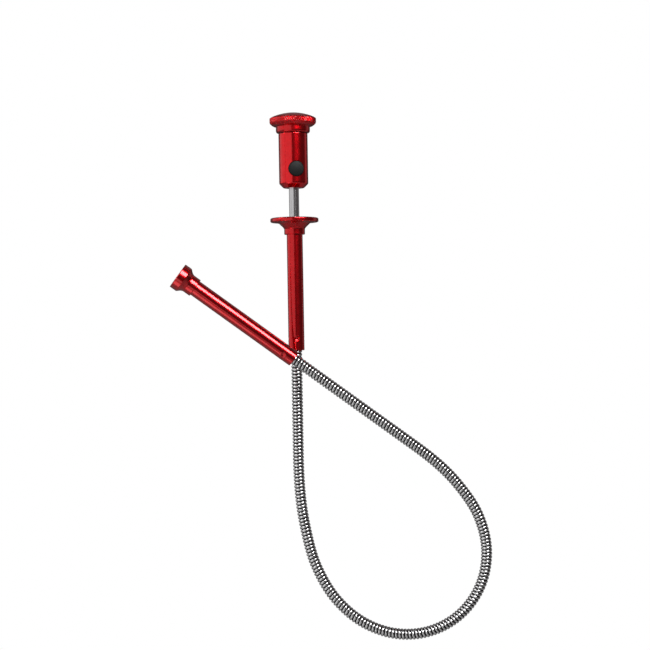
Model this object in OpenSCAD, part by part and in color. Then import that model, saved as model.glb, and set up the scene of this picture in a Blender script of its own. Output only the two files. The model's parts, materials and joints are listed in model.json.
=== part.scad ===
// Flexible claw pick-up tool. A knurled push grip drives a steel cable through a bent
// conduit, and four spring claws come out of the bell mouth at the far end.
// Millimetres. The origin is the centre of the finger flange's top face, +Z points to
// the cap, and the loop of the conduit lies in the XZ plane. The head leans towards -Y.

/* [Grip] */
// Diameter of the knurled cap
cap_d = 25.2; // [24:0.1:27]
// Height of the cap above the barrel
cap_h = 11.2; // [10.9:0.1:13]
// Diameter of the cap's collar
collar_d = 18.4; // [17.5:0.1:20]
// Diameter of the battery barrel
barrel_d = 15.7; // [15.2:0.1:16]
// Length of the battery barrel
barrel_len = 29.3; // [29:0.1:32]
// Gap between the barrel and the finger flange at rest
thumb_gap = 16.1; // [16:0.1:18]
// Travel of the plunger and of the claws
stroke = 15; // [12:0.5:15]
// Diameter of the finger flange
flange_d = 26; // [22:0.1:30]
// Length of the handle from the flange's top face to the tube's end
handle_len = 71.5; // [71:0.5:80]
// Diameter of the handle tube and the head tube
tube_d = 8.6; // [8.4:0.1:8.8]
// Diameter of the light button
button_d = 8.4; // [7:0.1:8.6]
// Angle of the light button round the barrel
button_turn = 13; // [-20:1:20]

/* [Shaft] */
// Outside diameter of the conduit
shaft_d = 6.0; // [5.8:0.1:6]
// Length of conduit that shows between the handle and the head
shaft_len = 404.6; // [380:0.1:420]
// Where the bend starts, measured along the conduit
bend_start = 53.0; // [40:0.1:60]
// Where the bend ends, measured along the conduit
bend_end = 325.2; // [310:0.1:340]
// Angle that the whole conduit turns through
bend_total = 233.2; // [200:0.1:240]
// How far the tightest stretch sits towards the head, 1 for the middle
bend_skew = 1.17; // [1:0.01:1.3]
// Lean of the head out of the plane of the loop
head_lean = 6; // [5:0.5:10]

/* [Head] */
// Length of the head from the tube's end to the mouth
head_len = 75.6; // [75:0.1:90]
// Outside diameter of the bell mouth
mouth_d = 14.3; // [14:0.1:16]
// Diameter of the bell mouth's neck
neck_d = 10.15; // [10:0.05:10.5]

/* [Hidden] */
$fn = 64;
fit = 0.05;                      // radial clearance of a running fit

tube_bore_d = tube_d - 1.6;
crimp_gap = 0.02;                // radial gap between a crimp sleeve and the conduit
link_count = 14;                 // stiff lengths that stand for the flexible conduit
joint_count = link_count - 1;
joint_gap = 0.7;                 // each length stops short of its joint by this
shaft_bore_d = 3.6;
cable_d = 2.4;
plug_in = 8;                     // conduit held inside each tube
stake_z = 6.3;                   // from the tube's end to the middle of the dents

barrel_z = thumb_gap;
barrel_top_z = barrel_z + barrel_len;
barrel_bore_d = barrel_d - 2;
barrel_floor = 3.5;
plug_len = 4.4;
cap_pocket_d = 12;
cap_pocket_top = 6.4;            // roof of the pocket in the cap, above the barrel
cap_land_d = 6;                  // flat in the middle of the cap's dome
cap_dome_drop = 2.5;
seam = 0.35;                     // the seal ring shows in this gap under the cap
cell_d = 11.6;
cell_h = 5.4;
cell_z = barrel_z + 15.7;
button_z = barrel_z + 9.9;
button_seat = 3.5;               // from the barrel's axis to the back of the button
button_lip = 0.45;               // lip that keeps the button in, cut off above and below

plunger_d = 5.4;
bush_len = 10;
stop_z = -bush_len - 0.55;
stop_len = 3;
spring_top_z = stop_z - stop_len;
spring_len = 31;
spring_wire = 0.7;
spring_coils = 12;
seat_z = spring_top_z - spring_len;
seat_len = 3;

mouth_len = 4.1;                 // cylinder, flare and neck of the bell mouth
flare_len = 2.9;
neck_len = 4.3;
bell_len = mouth_len + flare_len + neck_len;
bell_z = head_len - bell_len;
tube_in_bell = 3;
pivot_z = head_len - 19.6;       // where the claws flex, at rest
pivot_r = 2.0;
claw_w = 1.6;
claw_t = 0.45;
claw_len = 18.6;
hook_r = 0.5;
hub_len = 6;
magnet_d = 12.6;
magnet_bore_d = 10.6;
magnet_len = 3;
magnet_seat = 7.7;               // from the back of the bell mouth to the magnet

function two(i) = str(i < 10 ? "0" : "", i);
SHAFT_NODES = [for (i = [0:link_count - 1]) str("conduit_", two(i))];
CABLE_NODES = [for (i = [0:link_count - 1]) str("cable_", two(i))];
CLAW_NODES = [for (i = [1:4]) str("claw_", i)];

// ---- Path of the conduit ----------------------------------------------------------
// The heading turns smoothly from straight down, through bend_total degrees. Stations
// are the joints between links: closer together where the bend is tight.
function clamp01(t) = min(max(t, 0), 1);
function ease(t) = t * t * (3 - 2 * t);
function ease_inverse(f) = 0.5 - sin(asin(1 - 2 * f) / 3);
function heading(s) =
    -90 + bend_total * ease(pow(clamp01((s - bend_start) / (bend_end - bend_start)), bend_skew));
function even_share(k) = k / (joint_count - 1);
function equal_bend_share(k) = pow(ease_inverse(even_share(k)), 1 / bend_skew);
function joint_station(k) =
    bend_start + (bend_end - bend_start) * (even_share(k) + equal_bend_share(k)) / 2;
function station(i) = i == 0 ? 0 : i == link_count ? shaft_len : joint_station(i - 1);
function lean(s) = head_lean * ease(clamp01((s - 215) / 90));

function link_len(i) = station(i + 1) - station(i);
function link_bend(i) = heading(station(i + 1)) - heading(station(i));
function link_lean(i) = lean((station(i) + station(i + 1)) / 2);
function along(h, a) = [cos(h) * cos(a), -sin(a), sin(h) * cos(a)];
function across(h) = [-sin(h), 0, cos(h)];
function chord(i) =
    link_bend(i) < 0.5 ? link_len(i)
    : 2 * link_len(i) / link_bend(i) * (180 / PI) * sin(link_bend(i) / 2);
function link_end(i, start) =
    start + chord(i) * (cos(link_bend(i) / 2) * along(heading(station(i)), link_lean(i))
                      + sin(link_bend(i) / 2) * across(heading(station(i))));
function link_start(i) = i == 0 ? [0, 0, -handle_len] : link_end(i - 1, link_start(i - 1));

// Local +X runs along the conduit and local +Z points to the inside of the bend.
module at_link(i) {
    translate(link_start(i))
        rotate([0, -heading(station(i)), 0])
            rotate([0, 0, -link_lean(i)])
                children();
}

// Local +Z runs from the head tube's end to the mouth.
module at_head() {
    translate(link_start(link_count))
        rotate([0, -heading(shaft_len), 0])
            rotate([0, 0, -head_lean])
                rotate([0, 90, 0])
                    children();
}

// ---- Shared shapes ----------------------------------------------------------------
module ring(outer_d, inner_d, z, h) {
    translate([0, 0, z])
        difference() {
            cylinder(d = outer_d, h = h);
            translate([0, 0, -1]) cylinder(d = inner_d, h = h + 2);
        }
}

// A length of round tube, or bar if bore_d is 0, that starts at the origin along +X and
// bends towards +Z. It stops short of both ends by trim.
module bent_tube(outer_d, bore_d, len, bend, trim = 0) {
    if (bend < 0.5) {
        translate([trim, 0, 0]) straight_tube(outer_d, bore_d, len - 2 * trim);
    } else {
        r = len / bend * 180 / PI;
        trim_angle = trim / len * bend;
        translate([0, 0, r])
            rotate([0, -trim_angle, 0])
                multmatrix([[0, 1, 0, 0], [0, 0, -1, 0], [-1, 0, 0, 0]])
                    rotate_extrude(angle = bend - 2 * trim_angle)
                        translate([r, 0]) tube_section(outer_d, bore_d);
    }
}

module straight_tube(outer_d, bore_d, len) {
    rotate([0, 90, 0]) linear_extrude(height = len) tube_section(outer_d, bore_d);
}

module tube_section(outer_d, bore_d) {
    difference() {
        circle(d = outer_d);
        if (bore_d > 0) circle(d = bore_d);
    }
}

// Round dents of a stake, four around a tube.
module stake_dents(z, turn) {
    for (quarter = [0:90:270])
        rotate([0, 0, turn + quarter])
            translate([tube_d / 2 + 1.25, 0, z])
                sphere(d = 3.5);
}

// ---- Push grip --------------------------------------------------------------------
module battery_cap() {
    r = cap_d / 2;
    c = collar_d / 2;
    plug_r = barrel_bore_d / 2 - fit;
    edge_z = cap_h - cap_dome_drop;
    color("crimson")
        translate([0, 0, barrel_top_z])
            rotate_extrude()
                polygon(concat(
                    [[0, cap_pocket_top], [cap_pocket_d / 2, cap_pocket_top],
                     [cap_pocket_d / 2, -plug_len], [plug_r, -plug_len], [plug_r, seam],
                     [c - 1, seam], [c - 0.3, seam + 0.3], [c, seam + 1], [c, 3.7],
                     [r - 1.9, 4.1], [r - 0.7, 4.9], [r, 6], [r, edge_z - 0.6],
                     [r - 0.5, edge_z]],
                    [for (k = [1:6]) dome_point(k / 6)],
                    [[0, cap_h]]));
}

// Outline of the cap's shallow dome, from the rim at share 0 to the flat land at share 1.
function dome_point(share) =
    let (edge = cap_d / 2 - 0.5, land = cap_land_d / 2, r = edge + (land - edge) * share)
    [r, cap_h - cap_dome_drop * (r * r - land * land) / (edge * edge - land * land)];

module cap_seal_ring() {
    color("black")
        ring(barrel_d - 0.6, barrel_bore_d + 0.4, barrel_top_z + 0.02, seam - 0.04);
}

// A cone of contact wire turns, wide against the cap and narrow on the upper cell.
module battery_spring() {
    turns = 4;
    low_z = cell_z + 3 * cell_h + 0.45;
    high_z = barrel_top_z + cap_pocket_top - 0.4;
    color("gainsboro")
        union() {
            for (i = [0:turns - 1])
                translate([0, 0, low_z + (high_z - low_z) * i / (turns - 1)])
                    rotate_extrude()
                        translate([2.2 + 0.9 * i, 0]) circle(d = 0.7, $fn = 24);
        }
}

module button_cells() {
    color("silver")
        for (i = [0:2])
            translate([0, 0, cell_z + i * cell_h])
                union() {
                    cylinder(d = cell_d - 1.6, h = 0.9);
                    translate([0, 0, 0.6]) cylinder(d = cell_d, h = cell_h - 0.62);
                }
}

module cell_liner() {
    color("white")
        ring(barrel_bore_d - 0.1, cell_d + 0.2, cell_z + 0.1, 9);
}

module battery_barrel() {
    color("crimson")
        difference() {
            translate([0, 0, barrel_z])
                rotate_extrude()
                    polygon([[0, 0], [barrel_d / 2 - 2.3, 0], [barrel_d / 2, 2.3],
                             [barrel_d / 2, barrel_len - 0.3],
                             [barrel_d / 2 - 0.3, barrel_len], [0, barrel_len]]);
            translate([0, 0, barrel_z + barrel_floor])
                cylinder(d = barrel_bore_d, h = barrel_len);
            translate([0, 0, barrel_z - 1]) cylinder(d = plunger_d, h = barrel_floor + 2);
            at_button() cylinder(d = button_d + 0.2, h = barrel_d);
        }
}

// Local +Z points out of the barrel through the middle of the light button.
module at_button() {
    translate([0, 0, button_z])
        rotate([0, 0, button_turn])
            rotate([90, 0, 0])
                children();
}

module light_button() {
    color("black")
        at_button() {
            intersection() {
                translate([0, 0, button_seat]) cylinder(d = button_d + 2 * button_lip, h = 0.8);
                cube([20, button_d - 0.2, 20], center = true);
            }
            intersection() {
                translate([0, 0, button_seat]) cylinder(d = button_d - 0.2, h = 6);
                translate([0, 0, barrel_d / 2 - 22 + 0.2]) sphere(r = 22, $fn = 128);
            }
        }
}

module switch_holder() {
    color("ivory")
        difference() {
            translate([0, 0, barrel_z + barrel_floor + 0.1])
                cylinder(d = barrel_bore_d - 0.1, h = 11.1);
            at_button() {
                translate([0, 0, -2.2]) cylinder(d = button_d + 1.6, h = barrel_d);
                translate([-3.2, -3.2, -2.2]) cube([6.4, 6.4, 6]);
            }
            translate([0, 0, barrel_z]) cylinder(d = cable_d + 0.6, h = 40);
        }
}

module tact_switch() {
    color("dimgray")
        at_button() {
            translate([-3, -3, -2]) cube([6, 6, 3.6]);
            cylinder(d = 3.2, h = button_seat - 0.85);
        }
}

module switch_board() {
    color("darkgreen")
        ring(barrel_bore_d - 0.2, 1.2, cell_z - 0.9, 0.8);
}

module plunger_tube() {
    color("silver")
        ring(plunger_d, plunger_d - 1.4, stop_z - stop_len, barrel_z + barrel_floor - stop_z + stop_len);
}

module plunger_stop() {
    color("goldenrod")
        ring(tube_bore_d - 2 * fit, plunger_d, stop_z - stop_len, stop_len);
}

module plunger_cable() {
    color("slategray")
        translate([0, 0, stop_z - 41.5]) cylinder(d = cable_d, h = 41.5 - stop_z + barrel_z + 5);
}

// ---- Handle -----------------------------------------------------------------------
module return_spring() {
    first_z = spring_top_z - spring_wire / 2 - 0.02;
    pitch = (spring_len - spring_wire - 0.04) / (spring_coils - 1);
    color("silver")
        for (i = [0:spring_coils - 1])
            translate([0, 0, first_z - i * pitch])
                rotate_extrude()
                    translate([tube_bore_d / 2 - 0.6, 0]) circle(d = spring_wire, $fn = 24);
}

module spring_seat() {
    color("goldenrod")
        ring(tube_bore_d, cable_d + 0.8, seat_z - seat_len, seat_len);
}

module guide_bush() {
    color("goldenrod")
        ring(tube_bore_d, plunger_d + 2 * fit, -bush_len - 0.5, bush_len);
}

module finger_flange() {
    r = flange_d / 2;
    color("crimson")
        difference() {
            rotate_extrude()
                polygon([[0, 0], [r - 1.2, 0], [r - 0.4, -0.25], [r, -0.7], [r, -1.8],
                         [r - 0.2, -2.2], [r - 0.7, -2.4], [r - 4.1, -2.55],
                         [tube_d / 2 + 1.9, -5.1], [tube_d / 2 + 1.3, -6],
                         [tube_d / 2 + 1.3, -9], [0, -9]]);
            translate([0, 0, -10]) cylinder(d = tube_d, h = 9.5);
            translate([0, 0, -10]) cylinder(d = plunger_d + 0.8, h = 12);
        }
}

module handle_tube() {
    color("crimson")
        difference() {
            ring(tube_d, tube_bore_d, -handle_len, handle_len - 0.5);
            stake_dents(-handle_len + stake_z, 8);
        }
}

module handle_crimp_sleeve() {
    color("goldenrod")
        ring(tube_bore_d, shaft_d + 2 * crimp_gap, -handle_len + 1, plug_in + 2);
}

// ---- Flexible shaft ---------------------------------------------------------------
// Each link is a bent tube that stops just short of its joints, so it can turn there.
module conduit_link(i) {
    color(i % 2 == 0 ? "lightgray" : "darkgray")
        at_link(i) {
            if (i == 0) {
                translate([-plug_in, 0, 0])
                    straight_tube(shaft_d, shaft_bore_d, link_len(0) + plug_in - joint_gap);
            } else if (i == joint_count) {
                translate([joint_gap, 0, 0])
                    straight_tube(shaft_d, shaft_bore_d, link_len(i) + plug_in - joint_gap);
            } else {
                bent_tube(shaft_d, shaft_bore_d, link_len(i), link_bend(i), joint_gap);
            }
        }
}

module cable_link(i) {
    color("slategray")
        at_link(i) bent_tube(cable_d, 0, link_len(i), link_bend(i), joint_gap);
}

// ---- Head -------------------------------------------------------------------------
module head_crimp_sleeve() {
    color("goldenrod")
        at_head() ring(tube_bore_d, shaft_d + 2 * crimp_gap, 1, plug_in + 2);
}

module head_tube() {
    color("crimson")
        at_head()
            difference() {
                ring(tube_d, tube_bore_d, 0, bell_z + tube_in_bell);
                stake_dents(stake_z, 70);
            }
}

module bell_mouth() {
    m = mouth_d / 2;
    n = neck_d / 2;
    color("crimson")
        at_head()
            difference() {
                translate([0, 0, bell_z])
                    rotate_extrude()
                        polygon([[0, 0], [n - 0.3, 0], [n, 0.3], [n, neck_len],
                                 [n + 0.35, neck_len + 0.9], [n + 1.1, neck_len + 1.9],
                                 [m, neck_len + flare_len], [m, bell_len - 0.25],
                                 [m - 0.25, bell_len], [0, bell_len]]);
                translate([0, 0, bell_z - 1]) cylinder(d = tube_d, h = tube_in_bell + 1);
                translate([0, 0, bell_z]) cylinder(d = tube_bore_d, h = bell_len);
                translate([0, 0, bell_z + tube_in_bell + 0.2])
                    cylinder(d1 = tube_bore_d, d2 = magnet_bore_d, h = magnet_seat - tube_in_bell - 0.2);
                translate([0, 0, bell_z + magnet_seat]) cylinder(d = magnet_d, h = bell_len);
            }
}

module mouth_magnet() {
    color("dimgray")
        at_head() ring(magnet_d, magnet_bore_d, bell_z + magnet_seat, magnet_len);
}

module claw_hub() {
    color("goldenrod")
        at_head()
            translate([0, 0, pivot_z - 0.4 - hub_len])
                difference() {
                    cylinder(d = tube_bore_d - 2 * fit, h = hub_len);
                    translate([0, 0, -1]) cylinder(d = cable_d, h = hub_len - 1);
                    translate([0, 0, hub_len - 2.5]) cylinder(d = 2.2, h = 3);
                }
}

module hub_cable() {
    start = plug_in + 1;
    color("slategray")
        at_head() translate([0, 0, start]) cylinder(d = cable_d, h = pivot_z - 0.4 - 2.5 - 0.2 - start);
}

module lamp_stem() {
    color("silver")
        at_head() translate([0, 0, pivot_z - 2.85]) cylinder(d = 2.2, h = 12.4);
}

module lamp() {
    color("white")
        at_head()
            translate([0, 0, pivot_z + 9.6])
                union() {
                    cylinder(d = 2.8, h = 3.4);
                    translate([0, 0, 3.4]) sphere(d = 2.8);
                }
}

// A strip of spring steel with a rounded root where it flexes and a pointed hook.
module claw(i) {
    color("lightsteelblue")
        at_head()
            rotate([0, 0, 45 + 90 * (i - 1)])
                translate([0, 0, pivot_z])
                    union() {
                        translate([pivot_r, 0, 0])
                            rotate([90, 0, 0])
                                cylinder(d = claw_t, h = claw_w, center = true);
                        translate([pivot_r - claw_t / 2, -claw_w / 2, 0]) cube([claw_t, claw_w, claw_len]);
                        translate([0, 0, claw_len - claw_t])
                            linear_extrude(height = claw_t)
                                polygon([[hook_r, -0.2], [pivot_r, -claw_w / 2], [pivot_r, claw_w / 2],
                                         [hook_r, 0.2]]);
                    }
}

battery_cap();
cap_seal_ring();
battery_spring();
button_cells();
cell_liner();
battery_barrel();
switch_holder();
switch_board();
tact_switch();
light_button();
plunger_tube();
plunger_stop();
plunger_cable();
return_spring();
spring_seat();
guide_bush();
finger_flange();
handle_tube();
handle_crimp_sleeve();
head_crimp_sleeve();
head_tube();
bell_mouth();
mouth_magnet();
claw_hub();
hub_cable();
lamp_stem();
lamp();
for (i = [1:4])
    claw(i);
for (i = [0:link_count - 1]) {
    conduit_link(i);
    cable_link(i);
}
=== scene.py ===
"""Looks of the flexible claw pick-up tool: anodised red grip and head, coiled steel conduit.

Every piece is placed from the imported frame, in metres. Outlines are written in millimetres.
"""

import json
import math

import bpy
import numpy as np
from mathutils import Matrix, Vector


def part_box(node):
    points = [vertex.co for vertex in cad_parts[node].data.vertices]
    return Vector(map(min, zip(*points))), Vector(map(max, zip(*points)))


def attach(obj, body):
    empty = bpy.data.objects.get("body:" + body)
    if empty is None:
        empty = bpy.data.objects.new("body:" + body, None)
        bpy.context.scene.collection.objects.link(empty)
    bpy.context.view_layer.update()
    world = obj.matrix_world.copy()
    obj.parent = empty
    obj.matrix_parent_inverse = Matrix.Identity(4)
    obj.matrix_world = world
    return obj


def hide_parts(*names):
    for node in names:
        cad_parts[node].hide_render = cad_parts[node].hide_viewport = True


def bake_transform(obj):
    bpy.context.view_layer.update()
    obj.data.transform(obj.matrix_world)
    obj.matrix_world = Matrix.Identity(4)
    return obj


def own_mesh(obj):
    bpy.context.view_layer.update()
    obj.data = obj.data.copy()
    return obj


MM = 0.001
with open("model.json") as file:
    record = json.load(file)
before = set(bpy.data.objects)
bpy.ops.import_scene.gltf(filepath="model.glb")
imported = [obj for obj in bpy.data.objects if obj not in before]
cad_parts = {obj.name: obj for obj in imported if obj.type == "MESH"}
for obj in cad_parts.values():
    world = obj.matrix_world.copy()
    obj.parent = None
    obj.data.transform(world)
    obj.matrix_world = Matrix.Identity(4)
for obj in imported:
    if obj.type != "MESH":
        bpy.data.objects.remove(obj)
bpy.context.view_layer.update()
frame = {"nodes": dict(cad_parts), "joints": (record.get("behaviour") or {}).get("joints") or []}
joints = {j["name"]: j for j in frame["joints"]}


# ---- Meshes -------------------------------------------------------------------------
def unit(v):
    """v scaled to length one, along its last axis."""
    v = np.asarray(v, float)
    return v / np.linalg.norm(v, axis=-1, keepdims=True)


def make_mesh(name, vertices, faces, matrix=None):
    """A smooth-shaded mesh object from arrays of vertices and faces."""
    mesh = bpy.data.meshes.new(name)
    mesh.from_pydata(np.asarray(vertices).tolist(), [], faces)
    mesh.polygons.foreach_set("use_smooth", [True] * len(mesh.polygons))
    obj = bpy.data.objects.new(name, mesh)
    bpy.context.scene.collection.objects.link(obj)
    if matrix is not None:
        obj.matrix_world = matrix
    return obj


def ring_faces(rows, cols, closed_rows=False):
    """Quads over a grid of rows, each row a closed ring of cols points."""
    index = np.arange(rows * cols).reshape(rows, cols)
    if closed_rows:
        index = np.vstack([index, index[:1]])
    right = np.roll(index, -1, axis=1)
    quads = np.stack([index[:-1], right[:-1], right[1:], index[1:]], axis=-1)
    return quads.reshape(-1, 4).tolist()


def round_corners(corners, steps=4):
    """An outline of (radius, height) points from (radius, height, fillet) corners, in mm.

    A fillet takes at most 42% of each side, and a point just outside it keeps the side flat.
    """
    outline = []
    count = len(corners)
    for i, (r, z, fillet) in enumerate(corners):
        here = np.array([r, z], float)
        before = np.array(corners[i - 1][:2], float)
        after = np.array(corners[(i + 1) % count][:2], float)
        back, ahead = before - here, after - here
        back_len, ahead_len = np.linalg.norm(back), np.linalg.norm(ahead)
        reach = min(fillet, 0.42 * back_len, 0.42 * ahead_len)
        if reach <= 0 or r <= 0:
            outline.append(here)
            continue
        first = here + back / back_len * reach
        last = here + ahead / ahead_len * reach
        outline.append(here + back / back_len * reach * 1.2)
        for t in np.linspace(0, 1, steps + 1):
            outline.append((1 - t) ** 2 * first + 2 * t * (1 - t) * here + t * t * last)
        outline.append(here + ahead / ahead_len * reach * 1.2)
    return np.array(outline)


def split_runs(outline, step, fine=None, fine_step=0.2):
    """The closed outline with long runs split up, more finely between two heights, in mm."""
    points = []
    for a, b in zip(outline, np.roll(outline, -1, axis=0)):
        in_fine = fine is not None and min(a[1], b[1]) > fine[0] and max(a[1], b[1]) < fine[1]
        parts = max(1, math.ceil(np.linalg.norm(b - a) / (fine_step if in_fine else step)))
        points += [a + (b - a) * k / parts for k in range(parts)]
    return np.array(points)


def cut_grid(outline, angle, cut, closed):
    """Radius and height over an outline turned about Z, less cut(angle, radius, height), in mm."""
    r = outline[:, 0, None] + 0 * angle
    z = outline[:, 1, None] + 0 * angle
    if not cut:
        return r, z
    padded = np.pad(outline, ((1, 1), (0, 0)), "wrap" if closed else "edge")
    way = unit(padded[2:] - padded[:-2])
    depth = cut(angle + 0 * r, r, z)
    return r - depth * way[:, 1:], z + depth * way[:, :1]


def turned(name, corners, matrix=None, cols=128, step=4.0, fine=None, cut=None):
    """A turned solid with a bore, from (radius, height, fillet) corners in mm.

    The corners run down the bore and up the outside. cut(angle, radius, height) is a depth
    in mm taken off the surface.
    """
    outline = split_runs(round_corners(corners), step, fine)
    angle = np.arange(cols) * 2 * math.pi / cols
    r, z = cut_grid(outline, angle, cut, True)
    grid = np.stack([r * np.cos(angle), r * np.sin(angle), z], axis=-1) * MM
    return make_mesh(name, grid.reshape(-1, 3), ring_faces(len(grid), cols, True), matrix)


def turned_solid(name, outline, matrix=None, cols=128, cut=None, limit_y=None):
    """A turned solid without a bore: the outline runs from the axis to the axis, in mm."""
    angle = np.arange(cols) * 2 * math.pi / cols
    r, z = cut_grid(outline[1:-1], angle, cut, False)
    grid = np.stack([r * np.cos(angle), r * np.sin(angle), z], axis=-1)
    if limit_y:
        grid[..., 1] = np.clip(grid[..., 1], -limit_y, limit_y)
    rows = len(grid)
    faces = ring_faces(rows, cols)
    low, high, last = rows * cols, rows * cols + 1, (rows - 1) * cols
    faces += [[low, (c + 1) % cols, c] for c in range(cols)]
    faces += [[high, last + c, last + (c + 1) % cols] for c in range(cols)]
    poles = np.array([[0, 0, outline[0][1]], [0, 0, outline[-1][1]]])
    return make_mesh(name, np.vstack([grid.reshape(-1, 3), poles]) * MM, faces, matrix)


def rod(rings):
    """Vertices and faces of a rod through rings of points, closed at both ends."""
    rows, cols = rings.shape[:2]
    faces = ring_faces(rows, cols)
    faces.append(list(range(cols))[::-1])
    faces.append([(rows - 1) * cols + c for c in range(cols)])
    return rings.reshape(-1, 3), faces


def span(node, origin, way):
    """How far a CAD node reaches along a direction from a point, lowest and highest, in mm."""
    obj = frame["nodes"][node]
    reach = [(obj.matrix_world @ v.co - Vector(origin)).dot(Vector(way)) for v in obj.data.vertices]
    return min(reach) / MM, max(reach) / MM


# ---- Centreline of the conduit ------------------------------------------------------
class Centreline:
    """The conduit's path: straight out of the handle, through the joints, into the head."""

    def __init__(self, start, first_way, knots, last_way, end):
        knots = np.array(knots, float)
        chords = np.diff(knots, axis=0)
        lengths = np.linalg.norm(chords, axis=1)
        ways = unit(chords)
        tangents = [first_way]
        for k in range(1, len(knots) - 1):
            tangents.append(unit(ways[k - 1] * lengths[k] + ways[k] * lengths[k - 1]))
        tangents.append(last_way)
        points, directions = [np.array(start, float)], [first_way]
        # A Hermite curve between neighbouring joints, near to the arc through both of them.
        steps = np.linspace(0, 1, 49)[:, None]
        for k in range(len(knots) - 1):
            a, b = knots[k], knots[k + 1]
            half_turn = math.acos(min(1.0, tangents[k] @ tangents[k + 1])) / 2
            size = lengths[k] * (half_turn / math.sin(half_turn) if half_turn > 1e-6 else 1)
            ta, tb = tangents[k] * size, tangents[k + 1] * size
            t = steps[:-1] if k < len(knots) - 2 else steps
            points += list((2 * t**3 - 3 * t**2 + 1) * a + (t**3 - 2 * t**2 + t) * ta
                           + (3 * t**2 - 2 * t**3) * b + (t**3 - t**2) * tb)
            directions += list(unit((6 * t**2 - 6 * t) * (a - b) + (3 * t**2 - 4 * t + 1) * ta
                                    + (3 * t**2 - 2 * t) * tb))
        points.append(np.array(end, float))
        directions.append(last_way)
        self.points, self.directions = np.array(points), np.array(directions)
        gaps = np.linalg.norm(np.diff(self.points, axis=0), axis=1)
        self.s = np.concatenate([[0], np.cumsum(gaps)])
        self.length = self.s[-1]
        self.knots = [self.s[np.argmin(np.linalg.norm(self.points - k, axis=1))] for k in knots]

    def at(self, s):
        """Position, direction and two crosswise directions at distances s, past the ends too."""
        s = np.asarray(s, float)
        inside = np.clip(s, 0, self.length)
        p = np.stack([np.interp(inside, self.s, self.points[:, i]) for i in range(3)], axis=-1)
        t = unit(np.stack([np.interp(inside, self.s, self.directions[:, i]) for i in range(3)],
                          axis=-1))
        p = p + t * (s - inside)[..., None]
        side = unit(np.array([0, 1.0, 0]) - t * t[..., 1:2])
        return p, t, side, np.cross(t, side)


CLAWS = sorted(n for n in joints if n.startswith("claw_") and n.endswith("_open"))
BENDS = sorted(n for n in joints if n.startswith("shaft_bend_"))
PLUG_IN = 8 * MM                       # conduit held inside each tube
head_way = unit(joints["claw_advance"]["axis"])
claw_centre = np.mean([joints[n]["pos_m"] for n in CLAWS], axis=0)
head_end = claw_centre + head_way * span("head_tube", claw_centre, head_way)[0] * MM
tube_low, tube_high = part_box("handle_tube")
tube_r = (tube_high.x - tube_low.x) / 2 / MM
line = Centreline([0, 0, tube_low.z], np.array([0, 0, -1.0]),
                  [joints[n]["pos_m"] for n in BENDS], head_way, head_end)

# Head frame: +Z from the tube's end to the mouth, -Y towards the viewer's side.
head_y = unit(np.array([0, 1.0, 0]) - head_way * head_way[1])
head_x = np.cross(head_y, head_way)
HEAD = Matrix([[head_x[i], head_y[i], head_way[i], head_end[i]] for i in range(3)] + [[0, 0, 0, 1]])


# ---- Materials ----------------------------------------------------------------------
class Look:
    """A node material round one Principled shader, with its texture space in millimetres."""

    def __init__(self, name, **inputs):
        self.material = bpy.data.materials.new(name + "_look")
        self.material.use_nodes = True
        self.tree = self.material.node_tree
        self.shader = self.tree.nodes["Principled BSDF"]
        for key, value in inputs.items():
            self.shader.inputs[key.replace("_", " ").title().replace("Ior", "IOR")].default_value = value
        coordinates = self.node("ShaderNodeTexCoord")
        scale = self.node("ShaderNodeVectorMath", operation="SCALE")
        scale.inputs["Scale"].default_value = 1 / MM
        self.link(coordinates.outputs["Object"], scale.inputs[0])
        self.place = scale.outputs[0]

    def node(self, kind, **settings):
        made = self.tree.nodes.new(kind)
        for key, value in settings.items():
            setattr(made, key, value)
        return made

    def link(self, source, target):
        self.tree.links.new(source, target)

    def stretched(self, x, y, z):
        """The texture space scaled along each axis."""
        made = self.node("ShaderNodeVectorMath", operation="MULTIPLY")
        made.inputs[1].default_value = (x, y, z)
        self.link(self.place, made.inputs[0])
        return made.outputs[0]

    def noise(self, vector, scale, detail=2.0, roughness=0.5):
        made = self.node("ShaderNodeTexNoise")
        made.inputs["Scale"].default_value = scale
        made.inputs["Detail"].default_value = detail
        made.inputs["Roughness"].default_value = roughness
        self.link(vector, made.inputs["Vector"])
        return made.outputs["Fac"]

    def spread(self, value, low, high, from_low=0.0, from_high=1.0):
        """value carried from one range to another."""
        made = self.node("ShaderNodeMapRange")
        made.inputs["From Min"].default_value = from_low
        made.inputs["From Max"].default_value = from_high
        made.inputs["To Min"].default_value = low
        made.inputs["To Max"].default_value = high
        self.link(value, made.inputs["Value"])
        return made.outputs["Result"]

    def math(self, operation, a, b):
        made = self.node("ShaderNodeMath", operation=operation)
        for socket, value in zip(made.inputs, (a, b)):
            if isinstance(value, (int, float)):
                socket.default_value = value
            else:
                self.link(value, socket)
        return made.outputs[0]

    def blend_colour(self, factor, low, high):
        """A colour between low and high; either may be an output of another node."""
        made = self.node("ShaderNodeMix", data_type="RGBA")
        self.link(factor, made.inputs["Factor"])
        for socket, value in ((made.inputs[6], low), (made.inputs[7], high)):
            if isinstance(value, tuple):
                socket.default_value = (*value, 1)
            else:
                self.link(value, socket)
        return made.outputs[2]

    def colour(self, output):
        self.link(output, self.shader.inputs["Base Color"])

    def roughness(self, output):
        self.link(output, self.shader.inputs["Roughness"])

    def bump(self, height, distance_mm, strength=1.0):
        made = self.node("ShaderNodeBump")
        made.inputs["Distance"].default_value = distance_mm * MM
        made.inputs["Strength"].default_value = strength
        self.link(height, made.inputs["Height"])
        if self.shader.inputs["Normal"].is_linked:
            self.link(self.shader.inputs["Normal"].links[0].from_socket, made.inputs["Normal"])
        self.link(made.outputs["Normal"], self.shader.inputs["Normal"])


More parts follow.
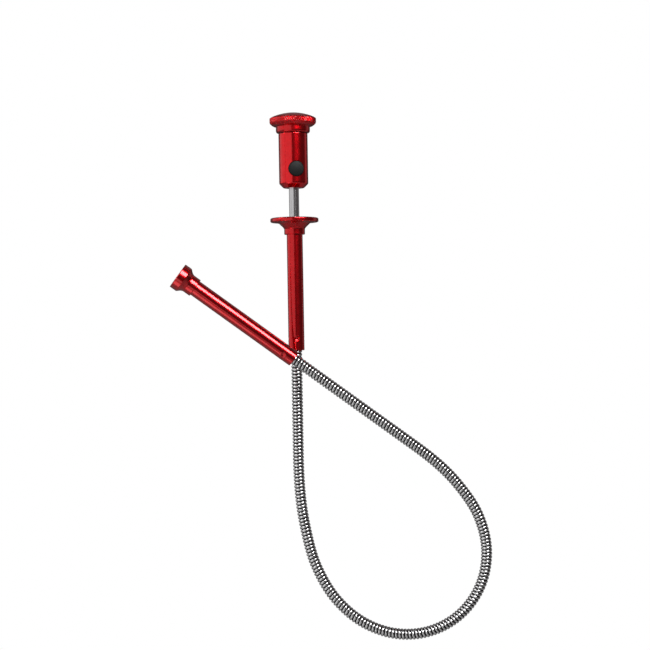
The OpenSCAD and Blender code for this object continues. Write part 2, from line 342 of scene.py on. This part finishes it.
def red_anodised(roughness=0.27, shine=0.6, tone=1.0):
    """Dyed anodised aluminium: clear oxide over coloured metal, fine turning lines."""
    look = Look("red_anodised", metallic=1.0, coat_weight=shine, coat_roughness=0.06, coat_ior=1.55)
    patches = look.noise(look.place, 0.35, 3.0)
    # tone scales the colour; above 1 it is painted light, making a part look more brightly lit
    deep = tuple(c * tone for c in (0.62, 0.0025, 0.0065))
    bright = tuple(c * tone for c in (0.76, 0.0055, 0.0115))
    look.colour(look.blend_colour(look.spread(patches, 0.0, 1.0, 0.3, 0.7), deep, bright))
    lines = look.noise(look.stretched(0.02, 0.02, 6.0), 1.0, 3.0, 0.7)
    rubbed = look.noise(look.stretched(1.0, 1.0, 0.45), 0.8, 4.0, 0.65)
    wear = look.math("ADD", look.spread(lines, -0.02, 0.02), look.spread(rubbed, -0.03, 0.03))
    look.roughness(look.math("ADD", wear, roughness))
    look.bump(lines, 0.0004, 0.4)
    look.bump(rubbed, 0.0008, 0.4)
    return look.material


DEPTH = "depth"                        # 0 on the crests of the coil, 1 between its turns; it masks the painted shade


def conduit_steel():
    """Bright plated steel wire, with painted shade darkening it down between the turns, where it is
    rougher too.
    """
    look = Look("chrome_conduit", metallic=1.0)
    depth = look.node("ShaderNodeAttribute", attribute_name=DEPTH).outputs["Fac"]
    patches = look.noise(look.place, 0.9, 4.0)
    steel_tone = look.blend_colour(patches, (0.62, 0.62, 0.63), (0.98, 0.98, 0.98))
    # painted shade: the colour goes to near black down between the turns and over the filler wire
    gap_shade = look.spread(look.math("ADD", depth, look.spread(patches, -0.06, 0.06)), 0.0, 1.0, 0.0, 0.38)
    look.colour(look.blend_colour(gap_shade, steel_tone, (0.025, 0.025, 0.026)))
    scratches = look.noise(look.place, 3.5, 4.0, 0.7)
    look.roughness(look.math("ADD", look.spread(scratches, 0.08, 0.24), look.spread(depth, 0.0, 0.3)))
    look.bump(scratches, 0.01, 0.5)
    return look.material


def metal(name, low, high, roughness, grain=2.0, line=(1.0, 1.0, 1.0), depth_mm=0.01):
    """Bare metal with a patchy tone and fine tool marks; line scales the marks along each axis."""
    look = Look(name, metallic=1.0)
    patches = look.noise(look.place, 0.7, 4.0)
    look.colour(look.blend_colour(patches, low, high))
    marks = look.noise(look.stretched(*line), grain, 3.0, 0.65)
    look.roughness(look.spread(marks, roughness - 0.08, roughness + 0.12))
    look.bump(marks, depth_mm, 0.6)
    return look.material


def moulded(name, low, high, roughness, grain=4.0, depth_mm=0.03, **more):
    """Plastic, rubber, paper or board with a fine surface grain."""
    look = Look(name, **more)
    patches = look.noise(look.place, 0.5, 3.0)
    look.colour(look.blend_colour(patches, low, high))
    texture = look.noise(look.place, grain, 4.0, 0.6)
    look.roughness(look.spread(texture, roughness - 0.1, roughness + 0.1))
    look.bump(texture, depth_mm, 0.5)
    return look.material


FINISHES = {
    "red_anodised": red_anodised(),
    # red_turned: the anodised red with its colour raised by 1.28, painted light that makes the barrel look
    # more brightly lit
    "red_turned": red_anodised(roughness=0.21, tone=1.28),
    "red_polished": red_anodised(roughness=0.24, shine=1.0),
    "chrome_conduit": conduit_steel(),
    "spring_steel": metal("spring_steel", (0.42, 0.43, 0.45), (0.6, 0.61, 0.63), 0.25, 5.0, (1, 1, 0.2)),
    "cell_steel": metal("cell_steel", (0.62, 0.61, 0.58), (0.75, 0.74, 0.71), 0.22),
    "bright_steel": metal("bright_steel", (0.6, 0.6, 0.61), (0.74, 0.74, 0.75), 0.16, 3.0, (0.1, 0.1, 4)),
    "brass": metal("brass", (0.62, 0.40, 0.14), (0.78, 0.54, 0.22), 0.28, 3.0, (0.1, 0.1, 5)),
    "nickel_magnet": metal("nickel_magnet", (0.46, 0.45, 0.42), (0.58, 0.57, 0.54), 0.24, 4.0),
    "drive_cable": metal("drive_cable", (0.26, 0.26, 0.27), (0.42, 0.42, 0.43), 0.34, 3.0),
    "black_rubber": moulded("black_rubber", (0.003, 0.004, 0.004), (0.006, 0.0075, 0.0075), 0.5, 7.0, 0.03,
                            specular_ior_level=0.22),
    "white_plastic": moulded("white_plastic", (0.74, 0.73, 0.68), (0.82, 0.81, 0.77), 0.42),
    "black_plastic": moulded("black_plastic", (0.012, 0.012, 0.012), (0.022, 0.022, 0.022), 0.4),
    "green_board": moulded("green_board", (0.008, 0.07, 0.022), (0.015, 0.11, 0.035), 0.35, 2.0),
    "liner_paper": moulded("liner_paper", (0.70, 0.68, 0.62), (0.80, 0.78, 0.73), 0.8, 6.0),
    "clear_lens": moulded("clear_lens", (0.9, 0.92, 0.95), (0.97, 0.98, 1.0), 0.15, 1.0, 0.005,
                          transmission_weight=0.55, ior=1.5),
}
for node in frame["nodes"].values():
    for slot in node.material_slots:
        slot.material = FINISHES[slot.material.name.split(".")[0]]


def finish_piece(obj, slot, body, *nodes, finish=None):
    """Gives a new piece its finish and its body, and lets it stand for CAD nodes."""
    obj.data.materials.append(FINISHES[finish or slot])
    if body:
        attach(obj, body)
    if nodes:
        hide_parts(*nodes)


# ---- Conduit ------------------------------------------------------------------------
COIL_PITCH = 1.85 * MM
COIL_R = 2.4 * MM                      # to the middle of the wire
WIRE_RADIAL, WIRE_AXIAL = 0.6 * MM, 0.78 * MM
WIRE_POINTS = 10
FILLER_R = 2.12 * MM                   # the wire between the turns, painted near-black as shade
FILLER_RADIAL, FILLER_AXIAL = 0.3 * MM, 0.4 * MM
FILLER_POINTS = 6
TURN_STEPS = 28
STEP = COIL_PITCH / TURN_STEPS
ROPE_R = 1.2                           # the rope's own sizes are in mm
ROPE_LAY = 14.0
ROPE_STEP = 0.8
ROPE_POINTS = 24
ROPE_GAP = 0.7 * MM                    # the cable stops this far short of both tubes


def helix(p, axis, side, cross, turn, centre_r, half_r, half_t, points):
    """Rings of a wire wound round an axis, its section an ellipse half_r by half_t."""
    radial = np.cos(turn)[:, None] * side + np.sin(turn)[:, None] * cross
    theta = np.arange(points) * 2 * math.pi / points
    out = np.broadcast_to(centre_r, turn.shape)[:, None] + half_r * np.cos(theta)
    return (p[:, None] + radial[:, None] * out[..., None]
            - axis[:, None] * (half_t * np.sin(theta))[None, :, None])


def rope(p, side, cross, s):
    """Rings of a six-strand rope, twisting as it goes; s in mm.

    A strand's radius is a third of the rope's, so its middle lies two thirds of the way out.
    """
    angle = np.arange(ROPE_POINTS) * 2 * math.pi / ROPE_POINTS
    off = (angle + math.pi / 6) % (math.pi / 3) - math.pi / 6
    reach = ROPE_R * (2 / 3 * np.cos(off) + np.sqrt(np.maximum(0, 1 / 9 - 4 / 9 * np.sin(off)**2)))
    turn = angle[None] + (s * 2 * math.pi / ROPE_LAY)[:, None]
    spoke = np.cos(turn)[..., None] * side[:, None] + np.sin(turn)[..., None] * cross[:, None]
    return p[:, None] + spoke * (reach * MM)[None, :, None]


def coil_piece(name, start, stop):
    """The wound conduit between two distances along the centreline, given in wire steps."""
    i = np.arange(start, stop + 1)
    wire = helix(*line.at(i * STEP), i * 2 * math.pi / TURN_STEPS, COIL_R, WIRE_RADIAL, WIRE_AXIAL,
                 WIRE_POINTS)
    half = np.arange(start // 2, stop // 2 + 1) * 2
    filler = helix(*line.at(half * STEP), half * 2 * math.pi / TURN_STEPS + math.pi, FILLER_R,
                   FILLER_RADIAL, FILLER_AXIAL, FILLER_POINTS)
    wire_points, faces = rod(wire)
    filler_points, filler_faces = rod(filler)
    faces += [[v + len(wire_points) for v in face] for face in filler_faces]
    obj = make_mesh(name, np.vstack([wire_points, filler_points]), faces)
    crest = np.tile(np.cos(np.arange(WIRE_POINTS) * 2 * math.pi / WIRE_POINTS), len(wire))
    # depth masks the painted shade: near black on the wire's inner flanks and over the whole filler wire
    depth = np.concatenate([np.clip(0.55 - 0.62 * crest, 0, 1), np.ones(len(filler_points))])
    attribute = obj.data.attributes.new(DEPTH, "FLOAT", "POINT")
    attribute.data.foreach_set("value", depth.astype(np.float32))
    return obj


def rope_piece(name, start, stop):
    """The drive cable between two distances along the centreline, in steps of ROPE_STEP."""
    s = np.arange(start, stop + 1) * ROPE_STEP
    p, _, side, cross = line.at(s * MM)
    return make_mesh(name, *rod(rope(p, side, cross, s)))


def flexible_shaft():
    """One length of conduit and cable across each joint, from mid-link to mid-link.

    Each length of coil ends on an even wire step, because the filler has every second step.
    """
    knots = line.knots
    middles = [(a + b) / 2 for a, b in zip(knots[:-1], knots[1:])]
    borders = [-PLUG_IN] + middles + [line.length + PLUG_IN]
    rope_borders = [ROPE_GAP] + middles + [line.length - ROPE_GAP]
    for j in range(len(BENDS)):
        numbers = [j, j + 1] if j == len(BENDS) - 1 else [j]
        first, last = (2 * round(s / STEP / 2) for s in borders[j:j + 2])
        coil = coil_piece(f"coil_{j:02d}", first, last)
        finish_piece(coil, "chrome_conduit", None, *[f"conduit_{n:02d}" for n in numbers])
        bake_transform(coil)
        first, last = (round(s / MM / ROPE_STEP) for s in rope_borders[j:j + 2])
        inner = rope_piece(f"inner_cable_{j:02d}", first, last)
        finish_piece(inner, "drive_cable", None, *[f"cable_{n:02d}" for n in numbers])
        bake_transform(inner)


def straight_rope(name, low, high, matrix, body, node):
    """A straight length of the cable along local Z, from low to high in mm."""
    s = np.linspace(low, high, max(2, round((high - low) / ROPE_STEP)))
    p = np.stack([0 * s, 0 * s, s], axis=-1) * MM
    side, cross = np.tile([1.0, 0, 0], (len(s), 1)), np.tile([0, 1.0, 0], (len(s), 1))
    obj = make_mesh(name, *rod(rope(p, side, cross, s)), matrix)
    finish_piece(obj, "drive_cable", body, node)


flexible_shaft()
cable_low, cable_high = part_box("plunger_cable")
straight_rope("push_cable", cable_low.z / MM, cable_high.z / MM, Matrix(), "plunger", "plunger_cable")
straight_rope("claw_cable", *span("hub_cable", head_end, head_way), HEAD, "claw_carrier", "hub_cable")


def spring(name, radii, heights, turns, wire_r, steps=36):
    """A wound spring round Z; radii and heights in mm at the given turns."""
    u = np.linspace(0, turns[-1], round(turns[-1] * steps) + 1)
    r, z = np.interp(u, turns, radii), np.interp(u, turns, heights)
    p = np.stack([0 * u, 0 * u, z], axis=-1) * MM
    frames = [np.tile(v, (len(u), 1)) for v in ([0, 0, 1.0], [1.0, 0, 0], [0, 1.0, 0])]
    rings = helix(p, *frames, u * 2 * math.pi, r * MM, wire_r * MM, wire_r * MM, 12)
    return make_mesh(name, *rod(rings))


SPRING_WIRE_R = 0.35


def spring_heights(low, high):
    """Heights of the wire's middle in a spring's first and last turns, in mm."""
    return low.z / MM + SPRING_WIRE_R, high.z / MM - SPRING_WIRE_R


def return_spring():
    """The plunger's spring, with a closed turn at each end."""
    low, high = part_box("return_spring")
    z_low, z_high = spring_heights(low, high)
    r = (high.x - low.x) / 2 / MM - SPRING_WIRE_R
    end_rise = 0.75
    obj = spring("push_spring", [r] * 4, [z_low, z_low + end_rise, z_high - end_rise, z_high],
                 [0, 1, 12, 13], SPRING_WIRE_R)
    finish_piece(obj, "spring_steel", "handle", "return_spring")
    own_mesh(obj)


def contact_spring():
    """The conical spring that presses on the lamp cells."""
    z_low, z_high = spring_heights(*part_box("battery_spring"))
    obj = spring("contact_spring", [2.2, 2.3, 4.6, 4.9, 4.9],
                 [z_low, z_low + 0.15, z_high - 0.4, z_high, z_high], [0, 1, 3.6, 4.2, 5],
                 SPRING_WIRE_R)
    finish_piece(obj, "spring_steel", "cap_spring", "battery_spring")


return_spring()
contact_spring()


# ---- Grip ---------------------------------------------------------------------------
barrel_low, barrel_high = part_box("battery_barrel")
barrel_r = (barrel_high.x - barrel_low.x) / 2 / MM
barrel_len = (barrel_high.z - barrel_low.z) / MM
cap_low, cap_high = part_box("battery_cap")
cap_r = (cap_high.x - cap_low.x) / 2 / MM
cap_top = (cap_high.z - barrel_high.z) / MM
plug_z = (cap_low.z - barrel_high.z) / MM
COLLAR_R = 9.2
COLLAR_TOP = 3.7
PLUG_R = 6.65                          # the cap's plug, in the barrel's bore
POCKET_R = 6.0                         # the pocket for the contact spring
POCKET_TOP = 6.4
LAND_R = 3.0                           # the flat in the middle of the dome
SEAM = 0.35                            # the seal ring shows in this gap
BORE_R = 6.7
BARREL_FLOOR = 3.5
BARREL_CHAMFER = 2.3
PLUNGER_R = 2.7
HOLE_R = 4.3                           # for the light button
HOLE_REACH = 12                        # past the barrel's surface
KNURL_TEETH = 70
KNURL_STEPS = 12                       # points of the rim for each tooth
KNURL_DEPTH = 0.32
KNURL_LEAD = 0.62                      # how far a groove runs round the rim as it rises by one
KNURL_LOW, KNURL_HIGH = 4.6, 8.7
ROUND_BELOW, ROUND_ABOVE = 6.2, 7.9    # the rim is straight between these heights


def groove_depth(turns):
    """Depth of a V groove at whole numbers of turns: 1 at its bottom, 0 between grooves."""
    share = np.abs(2 * (turns - np.floor(turns)) - 1)
    return np.clip((share - 0.2) / 0.8, 0, 1)


def knurl_cut(angle, r, z):
    """A crossed diamond knurl on the cap's rim, running out at both edges."""
    turns = angle / (2 * math.pi) * KNURL_TEETH
    lead = KNURL_LEAD * z / (2 * math.pi * cap_r) * KNURL_TEETH
    cut = np.maximum(0.75 * groove_depth(turns + lead), groove_depth(turns - lead))
    run_out = np.clip((z - KNURL_LOW + 0.2) / 0.5, 0, 1) * np.clip((KNURL_HIGH + 0.6 - z) / 0.6, 0, 1)
    return KNURL_DEPTH * cut * run_out * (r > cap_r - 2.2)


def rim_radius(z):
    """Radius of the cap's barrel-shaped rim at a height."""
    return cap_r - 0.5 * np.maximum(0, ROUND_BELOW - z)**2 - 0.9 * np.maximum(0, z - ROUND_ABOVE)**2


def knurled_cap():
    """The screw cap: a knurled rim under a shallow dome, over a plain collar."""
    edge = rim_radius(KNURL_HIGH)
    radii = edge - (edge - LAND_R) * np.linspace(0.1, 1, 26)**1.6
    bulge = (cap_top - KNURL_HIGH) / (edge**2 - LAND_R**2)
    dome = [(r, cap_top - bulge * (r**2 - LAND_R**2), 0) for r in radii]
    corners = [(0, POCKET_TOP, 0), (POCKET_R, POCKET_TOP, 0.3), (POCKET_R, plug_z, 0.2),
               (PLUG_R, plug_z, 0.25), (PLUG_R, SEAM, 0.1), (COLLAR_R - 1, SEAM, 0.2),
               (COLLAR_R - 0.3, SEAM + 0.3, 0.3), (COLLAR_R, SEAM + 1.0, 0.4),
               (COLLAR_R, COLLAR_TOP, 0.2), (cap_r - 1.9, COLLAR_TOP + 0.45, 0.5)]
    corners += [(rim_radius(z), z, 0) for z in np.linspace(KNURL_LOW, KNURL_HIGH, 36)]
    corners += dome + [(0, cap_top, 0)]
    obj = turned_solid("knurled_cap", round_corners(corners), Matrix.Translation((0, 0, barrel_high.z)),
                       KNURL_TEETH * KNURL_STEPS, knurl_cut)
    finish_piece(obj, "red_anodised", "cap", "battery_cap")


def button_frame():
    """Local Z points out of the light button and local Y up along the barrel."""
    low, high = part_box("light_button")
    z = -Vector(joints["button_press"]["axis"])
    y = (Vector((0, 0, 1)) - z * z.z).normalized()
    x = y.cross(z)
    place = (0, 0, (low.z + high.z) / 2)
    return Matrix([[x[i], y[i], z[i], place[i]] for i in range(3)] + [[0, 0, 0, 1]])


BUTTON = button_frame()


def light_button():
    """The rubber push button: a shallow dome with a rounded edge over a retaining lip."""
    body_r, lip_r = 4.1, 4.55
    seat, lip_top, edge, top = 3.5, 4.3, barrel_r - 0.18, barrel_r + 0.2
    dome_r = 22.0
    dome = [(r, top - dome_r + math.sqrt(dome_r**2 - r * r), 0) for r in np.linspace(body_r - 0.9, 0, 12)]
    corners = [(0, seat, 0), (lip_r, seat, 0.15), (lip_r, lip_top, 0.2), (body_r, lip_top, 0.1),
               (body_r, edge, 0.45)] + dome
    obj = turned_solid("lamp_button", round_corners(corners), BUTTON, 96, limit_y=body_r)
    finish_piece(obj, "black_rubber", "button", "light_button")


def battery_barrel():
    """The turned barrel, bored for the lamp cells, with a round hole for the button."""
    corners = [(BORE_R, barrel_len, 0.15), (BORE_R, BARREL_FLOOR, 0.3), (PLUNGER_R, BARREL_FLOOR, 0.1),
               (PLUNGER_R, 0, 0.15), (barrel_r - BARREL_CHAMFER, 0, 0.35),
               (barrel_r, BARREL_CHAMFER, 0.6), (barrel_r, barrel_len, 0.3)]
    obj = turned("barrel", corners, Matrix.Translation((0, 0, barrel_low.z)), 160, 1.2)
    hole = np.array([(0, 0), (HOLE_R, 0), (HOLE_R, HOLE_REACH), (0, HOLE_REACH)], float)
    bite = turned_solid("bite", hole, BUTTON, 96)
    cutter = obj.modifiers.new("hole", "BOOLEAN")
    cutter.operation = "DIFFERENCE"
    cutter.solver = "EXACT"
    cutter.object = bite
    finished = bpy.data.meshes.new_from_object(obj.evaluated_get(bpy.context.evaluated_depsgraph_get()))
    obj.modifiers.clear()
    obj.data = finished
    bpy.data.objects.remove(bite)
    finished.materials.clear()
    finished.set_sharp_from_angle(angle=math.radians(35))
    # the barrel takes the brightened red, painted light
    finish_piece(obj, "red_anodised", "plunger", "battery_barrel", finish="red_turned")


def finger_flange():
    """The finger flange: a thin round-edged disc over a short cone and hub."""
    low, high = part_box("finger_flange")
    r = (high.x - low.x) / 2 / MM
    bore, hub = PLUNGER_R + 0.4, tube_r + 1.3
    lip, hub_low = -0.5, -9
    corners = [(bore, 0, 0.15), (bore, lip, 0.1), (tube_r, lip, 0.1), (tube_r, hub_low, 0.2),
               (hub, hub_low, 0.4), (hub, -6, 0.3), (hub + 0.6, -5.1, 0.6), (r - 4.1, -2.55, 1.0),
               (r - 0.4, -2.4, 0.4), (r, -2.0, 0.3), (r, -0.5, 0.4), (r - 0.5, -0.1, 0.4),
               (r - 1.4, 0, 0.5)]
    obj = turned("flange", corners, None, 160, 1.5)
    finish_piece(obj, "red_anodised", "handle", "finger_flange")


TUBE_WALL = 0.8
STAKE_Z = 6.3                          # from the tube's end to the middle of the dents
STAKE_BALL_R = 1.75                    # the dents are cut by balls, centred outside the tube
STAKE_BALL_OUT = 1.25


def stakes(first_turn, centre_z):
    """Four round dents with raised rims that hold the conduit's end, pressed into a tube."""
    def cut(angle, r, z):
        depth = 0 * r
        for k in range(4):
            turn = (angle - math.radians(first_turn + 90 * k) + math.pi) % (2 * math.pi) - math.pi
            away = np.sqrt((tube_r * turn)**2 + (z - centre_z)**2)
            dent = np.sqrt(np.maximum(STAKE_BALL_R**2 - away**2, 0)) - STAKE_BALL_OUT
            raised = 0.05 * np.exp(-((away - 1.45) / 0.25)**2)
            depth = np.maximum(depth, dent) - raised
        return np.where(r > tube_r - 0.05, depth, 0)
    return cut


def red_tube(name, body, node, low, high, first_turn, matrix, finish=None):
    """A red tube from low to high in mm, its low end rolled over and staked."""
    bore = tube_r - TUBE_WALL
    z = low + STAKE_Z
    corners = [(bore, high, 0.1), (bore, low, 0.3), (tube_r, low, 0.45), (tube_r, z - 1.9, 0),
               (tube_r, z + 1.9, 0), (tube_r, high, 0.15)]
    obj = turned(name, corners, matrix, 192, 3.0, (z - 2, z + 2), stakes(first_turn, z))
    finish_piece(obj, "red_anodised", body, node, finish=finish)


def bell_mouth():
    """The flared mouth of the head, bored for the claws and the ring magnet."""
    low, high = span("bell_mouth", head_end, head_way)
    magnet_low, _ = span("mouth_magnet", head_end, head_way)
    mouth_r, neck_r = 7.15, 5.075
    magnet_r, cone_r, bore = 6.3, 5.3, tube_r - TUBE_WALL
    neck, flare, tube_stop = low + 4.3, low + 7.2, low + 3
    corners = [(magnet_r, high, 0.12), (magnet_r, magnet_low, 0.05), (cone_r, magnet_low, 0.1),
               (bore, tube_stop + 0.2, 0.2), (bore, tube_stop, 0.05), (tube_r, tube_stop, 0.05),
               (tube_r, low, 0.1), (neck_r, low, 0.35), (neck_r, neck, 0.6),
               (neck_r + 0.35, neck + 0.9, 0.5), (neck_r + 1.1, neck + 1.9, 0.6),
               (mouth_r, flare, 0.35), (mouth_r, high, 0.3)]
    obj = turned("mouth", corners, HEAD, 160, 1.5)
    finish_piece(obj, "red_anodised", "head", "bell_mouth", finish="red_polished")


knurled_cap()
light_button()
battery_barrel()
finger_flange()
red_tube("grip_tube", "handle", "handle_tube", tube_low.z / MM, tube_high.z / MM, 8, None)
red_tube("nose_tube", "head", "head_tube", *span("head_tube", head_end, head_way), 70, HEAD,
         "red_polished")
bell_mouth()


# ---- Claws --------------------------------------------------------------------------
# Middle of a strip: distance from the head's axis and distance past the pivot, in mm.
CLAW_PATH = [(2.0, -2.2), (2.0, -0.3), (2.02, 1.2), (2.3, 4.6), (2.6, 8.6), (2.62, 12.4), (2.4, 15.6),
             (2.22, 17.2), (1.95, 18.15), (1.3, 18.38), (0.55, 18.3)]
CLAW_WIDTH = 1.6
CLAW_THICKNESS = 0.42
CLAW_CORNER = 0.1


def smoothed(points, rounds=2):
    """A path with its corners cut, ends kept."""
    points = np.array(points, float)
    for _ in range(rounds):
        cut = np.empty((2 * len(points) - 2, 2))
        cut[0::2] = 0.75 * points[:-1] + 0.25 * points[1:]
        cut[1::2] = 0.25 * points[:-1] + 0.75 * points[1:]
        points = np.vstack([points[:1], cut, points[-1:]])
    return points


def claw(joint):
    """A strip of spring steel, bowed outwards, with a pointed hook at its tip."""
    pivot = np.array(joint["pos_m"])
    radial = unit(pivot - claw_centre)
    across = np.cross(head_way, radial)
    path = smoothed(CLAW_PATH)
    ahead = unit(np.gradient(path, axis=0))
    normal = np.stack([ahead[:, 1], -ahead[:, 0]], axis=-1)
    travel = np.concatenate([[0], np.cumsum(np.linalg.norm(np.diff(path, axis=0), axis=1))])
    share = travel / travel[-1]
    half_width = np.interp(share, [0, 0.86, 0.93, 1], [1, 1, 0.7, 0.2]) * CLAW_WIDTH / 2
    half_thick = CLAW_THICKNESS / 2
    rings = []
    for k in range(12):
        quadrant, step = divmod(k, 3)
        theta = (quadrant + step / 2) * math.pi / 2
        to_u = 1 if quadrant in (0, 3) else -1
        to_v = 1 if quadrant in (0, 1) else -1
        u = to_u * (half_thick - CLAW_CORNER) + CLAW_CORNER * math.cos(theta)
        v = to_v * (half_width - CLAW_CORNER) + CLAW_CORNER * math.sin(theta)
        place = path + normal * u
        rings.append(claw_centre + radial * place[:, :1] * MM + head_way * place[:, 1:] * MM
                     + across * v[:, None] * MM)
    number = joint["name"].split("_")[1]
    obj = make_mesh(f"claw_strip_{number}", *rod(np.stack(rings, axis=1)))
    obj.data.set_sharp_from_angle(angle=math.radians(50))
    finish_piece(obj, "spring_steel", None, f"claw_{number}")
    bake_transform(obj)


for claw_name in CLAWS:
    claw(joints[claw_name])

# ---- Sizes, camera, light -----------------------------------------------------------
VIEW_DISTANCE = 0.84
FRAME_WIDTH = 0.3511                   # width of the picture at the handle's plane
SENSOR_WIDTH = 36                      # mm
AIM = Vector((0.01557, 0, -0.0581))
UP = Vector((0.0169, 0, 1))            # the handle stands a degree off upright in the picture


def set_camera():
    """A camera square in front of the loop."""
    data = bpy.data.cameras.new("camera")
    data.sensor_width = SENSOR_WIDTH
    data.lens = SENSOR_WIDTH * VIEW_DISTANCE / FRAME_WIDTH
    data.clip_start = 0.01
    data.clip_end = 50
    camera = bpy.data.objects.new("camera", data)
    bpy.context.scene.collection.objects.link(camera)
    up, back = UP.normalized(), Vector((0, -1, 0))
    right, place = up.cross(back), AIM + back * VIEW_DISTANCE
    camera.matrix_world = Matrix([[right[i], up[i], back[i], place[i]] for i in range(3)]
                                 + [[0, 0, 0, 1]])
    bpy.context.scene.camera = camera
    bpy.context.scene.view_settings.view_transform = "Standard"


set_camera()


def softbox(name, azimuth, elevation, distance, width, height, radiance, shape="RECTANGLE"):
    """A light facing the aim, at an azimuth from the viewer's direction, positive to the right."""
    data = bpy.data.lights.new(name, "AREA")
    data.shape = shape
    data.size, data.size_y = width, height
    data.energy = radiance * math.pi * width * height
    light = bpy.data.objects.new(name, data)
    bpy.context.scene.collection.objects.link(light)
    a, e = math.radians(azimuth), math.radians(elevation)
    towards = Vector((math.sin(a) * math.cos(e), -math.cos(a) * math.cos(e), math.sin(e)))
    light.location = AIM + towards * distance
    light.rotation_mode = "QUATERNION"
    light.rotation_quaternion = towards.to_track_quat("Z", "Y")
    light.visible_camera = False


softbox("softbox_left_front", -38, 0, 1.0, 1.05, 1.6, 0.62)
softbox("softbox_left_side", -97, 8, 1.0, 1.1, 0.9, 0.6)
softbox("key_light", 29.0, 34.5, 1.0, 0.68, 0.5, 8.5, "ELLIPSE")
softbox("softbox_right_side", 117, 0, 1.0, 0.38, 1.4, 0.22)
softbox("softbox_back_top", 180, 50, 1.1, 1.4, 0.9, 0.12)
softbox("softbox_upper_left", -72, 32, 1.0, 0.4, 0.35, 4)
softbox("softbox_low_left", -50, -45, 0.7, 0.35, 0.4, 0.75)
softbox("softbox_back_left", -150, 5, 1.2, 0.5, 1.0, 0.06)


def studio_world():
    """A world that is white to the camera and dim to everything else."""
    world = bpy.data.worlds.new("studio")
    bpy.context.scene.world = world
    world.use_nodes = True
    tree = world.node_tree
    background = tree.nodes["Background"]
    path = tree.nodes.new("ShaderNodeLightPath")
    mix = tree.nodes.new("ShaderNodeMix")
    mix.data_type = "RGBA"
    mix.inputs[6].default_value = (0.078, 0.07, 0.07, 1)
    mix.inputs[7].default_value = (1, 1, 1, 1)
    tree.links.new(path.outputs["Is Camera Ray"], mix.inputs["Factor"])
    tree.links.new(mix.outputs[2], background.inputs["Color"])


studio_world()
FLOOR_Z = -0.62                        # clear of the shaft when it hangs straight
FLOOR_REACH = 6.0


def floor():
    """A wide floor under everything: white to the camera, pale grey to the lights."""
    corners = [(x * FLOOR_REACH, y * FLOOR_REACH, 0) for x, y in ((-1, -1), (1, -1), (1, 1), (-1, 1))]
    obj = make_mesh("floor", corners, [[0, 1, 2, 3]], Matrix.Translation((0, 0, FLOOR_Z)))
    look = Look("floor", roughness=0.7)
    tone = look.noise(look.place, 0.02, 3.0)
    look.colour(look.blend_colour(tone, (0.43, 0.43, 0.43), (0.47, 0.47, 0.47)))
    glow = look.node("ShaderNodeEmission")
    glow.inputs["Color"].default_value = (1, 1, 1, 1)
    path = look.node("ShaderNodeLightPath")
    mix = look.node("ShaderNodeMixShader")
    look.link(path.outputs["Is Camera Ray"], mix.inputs["Fac"])
    look.link(look.shader.outputs[0], mix.inputs[1])
    look.link(glow.outputs[0], mix.inputs[2])
    look.link(mix.outputs[0], look.tree.nodes["Material Output"].inputs["Surface"])
    obj.data.materials.append(look.material)


floor()
